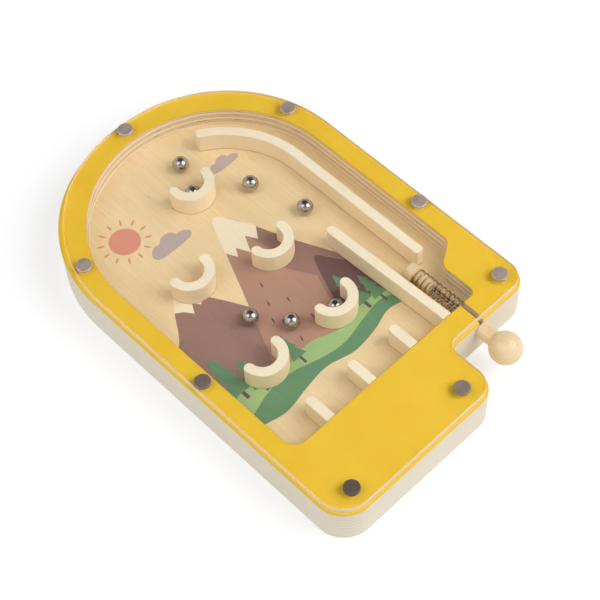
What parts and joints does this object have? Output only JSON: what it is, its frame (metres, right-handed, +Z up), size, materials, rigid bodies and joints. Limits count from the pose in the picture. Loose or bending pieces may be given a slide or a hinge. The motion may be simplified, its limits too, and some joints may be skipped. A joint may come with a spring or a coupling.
{
  "type": "tabletop pinball game",
  "caption": "Flat wooden pinball game with an arched end: a clear cover over a printed field with ball cups, a curved return rail, steel balls and a spring plunger with a ball knob.",
  "frame": {"origin": "middle of the case's footprint, on the surface that it stands on", "axes": "+Y up the field to the arched end, +X to the plunger's side, +Z up"},
  "size_m": [0.183, 0.283, 0.0325],
  "materials": {
    "field_plywood": "satin, clear sealed",
    "lacquered_plywood": "yellow satin lacquer on top, bare sides",
    "clear_acrylic": "clear, polished",
    "nut_steel": "satin",
    "screw_steel": "satin",
    "pale_wood": "bare, sanded",
    "turned_wood": "bare, sanded",
    "rod_steel": "polished",
    "spring_steel": "bright drawn wire",
    "ball_steel": "polished"
  },
  "bodies": {
    "case": {"base_board": "field_plywood", "frame_ring": "lacquered_plywood", "clear_cover": "clear_acrylic", "cover_sleeve_nuts": "nut_steel", "base_screws": "screw_steel", "guide_rail": "pale_wood", "lane_wall": "pale_wood", "score_divider_1": "pale_wood", "score_divider_2": "pale_wood", "score_divider_3": "pale_wood", "ball_cup_1": "pale_wood", "ball_cup_2": "pale_wood", "ball_cup_3": "pale_wood", "ball_cup_4": "pale_wood", "ball_cup_5": "pale_wood", "plunger_spring": "spring_steel"},
    "plunger": {"plunger_head": "turned_wood", "plunger_rod": "rod_steel", "plunger_knob": "turned_wood"},
    "ball_1": {"steel_ball_1": "ball_steel"},
    "ball_2": {"steel_ball_2": "ball_steel"},
    "ball_3": {"steel_ball_3": "ball_steel"},
    "ball_4": {"steel_ball_4": "ball_steel"},
    "ball_5": {"steel_ball_5": "ball_steel"},
    "ball_6": {"steel_ball_6": "ball_steel"},
    "ball_7": {"steel_ball_7": "ball_steel"}
  },
  "joints": [
    {"name": "plunger_pull", "type": "slide", "parent": "case", "child": "plunger", "axis": [0, -1, 0], "range_m": [0, 0.02], "stiffness_N_per_m": 150, "springref_m": -0.006, "deforming": ["plunger_spring"]},
    {"name": "ball_1_roll", "type": "slide", "parent": "case", "child": "ball_1", "axis": [-1, 0, 0], "range_m": [0, 0.06]},
    {"name": "ball_2_roll", "type": "slide", "parent": "case", "child": "ball_2", "axis": [-0.0549, -0.9985, 0], "range_m": [0, 0.1442]},
    {"name": "ball_3_roll", "type": "slide", "parent": "case", "child": "ball_3", "axis": [0.1364, -0.9907, 0], "range_m": [0, 0.0686]},
    {"name": "ball_4_roll", "type": "slide", "parent": "case", "child": "ball_4", "axis": [-1, 0, 0], "range_m": [0, 0.0385]},
    {"name": "ball_5_roll", "type": "slide", "parent": "case", "child": "ball_5", "axis": [-0.2221, -0.975, 0], "range_m": [0, 0.059]},
    {"name": "ball_6_roll", "type": "slide", "parent": "case", "child": "ball_6", "axis": [0, 1, 0], "range_m": [0, 0.009]},
    {"name": "ball_7_roll", "type": "slide", "parent": "case", "child": "ball_7", "axis": [0, 1, 0], "range_m": [0, 0.03]}
  ]
}
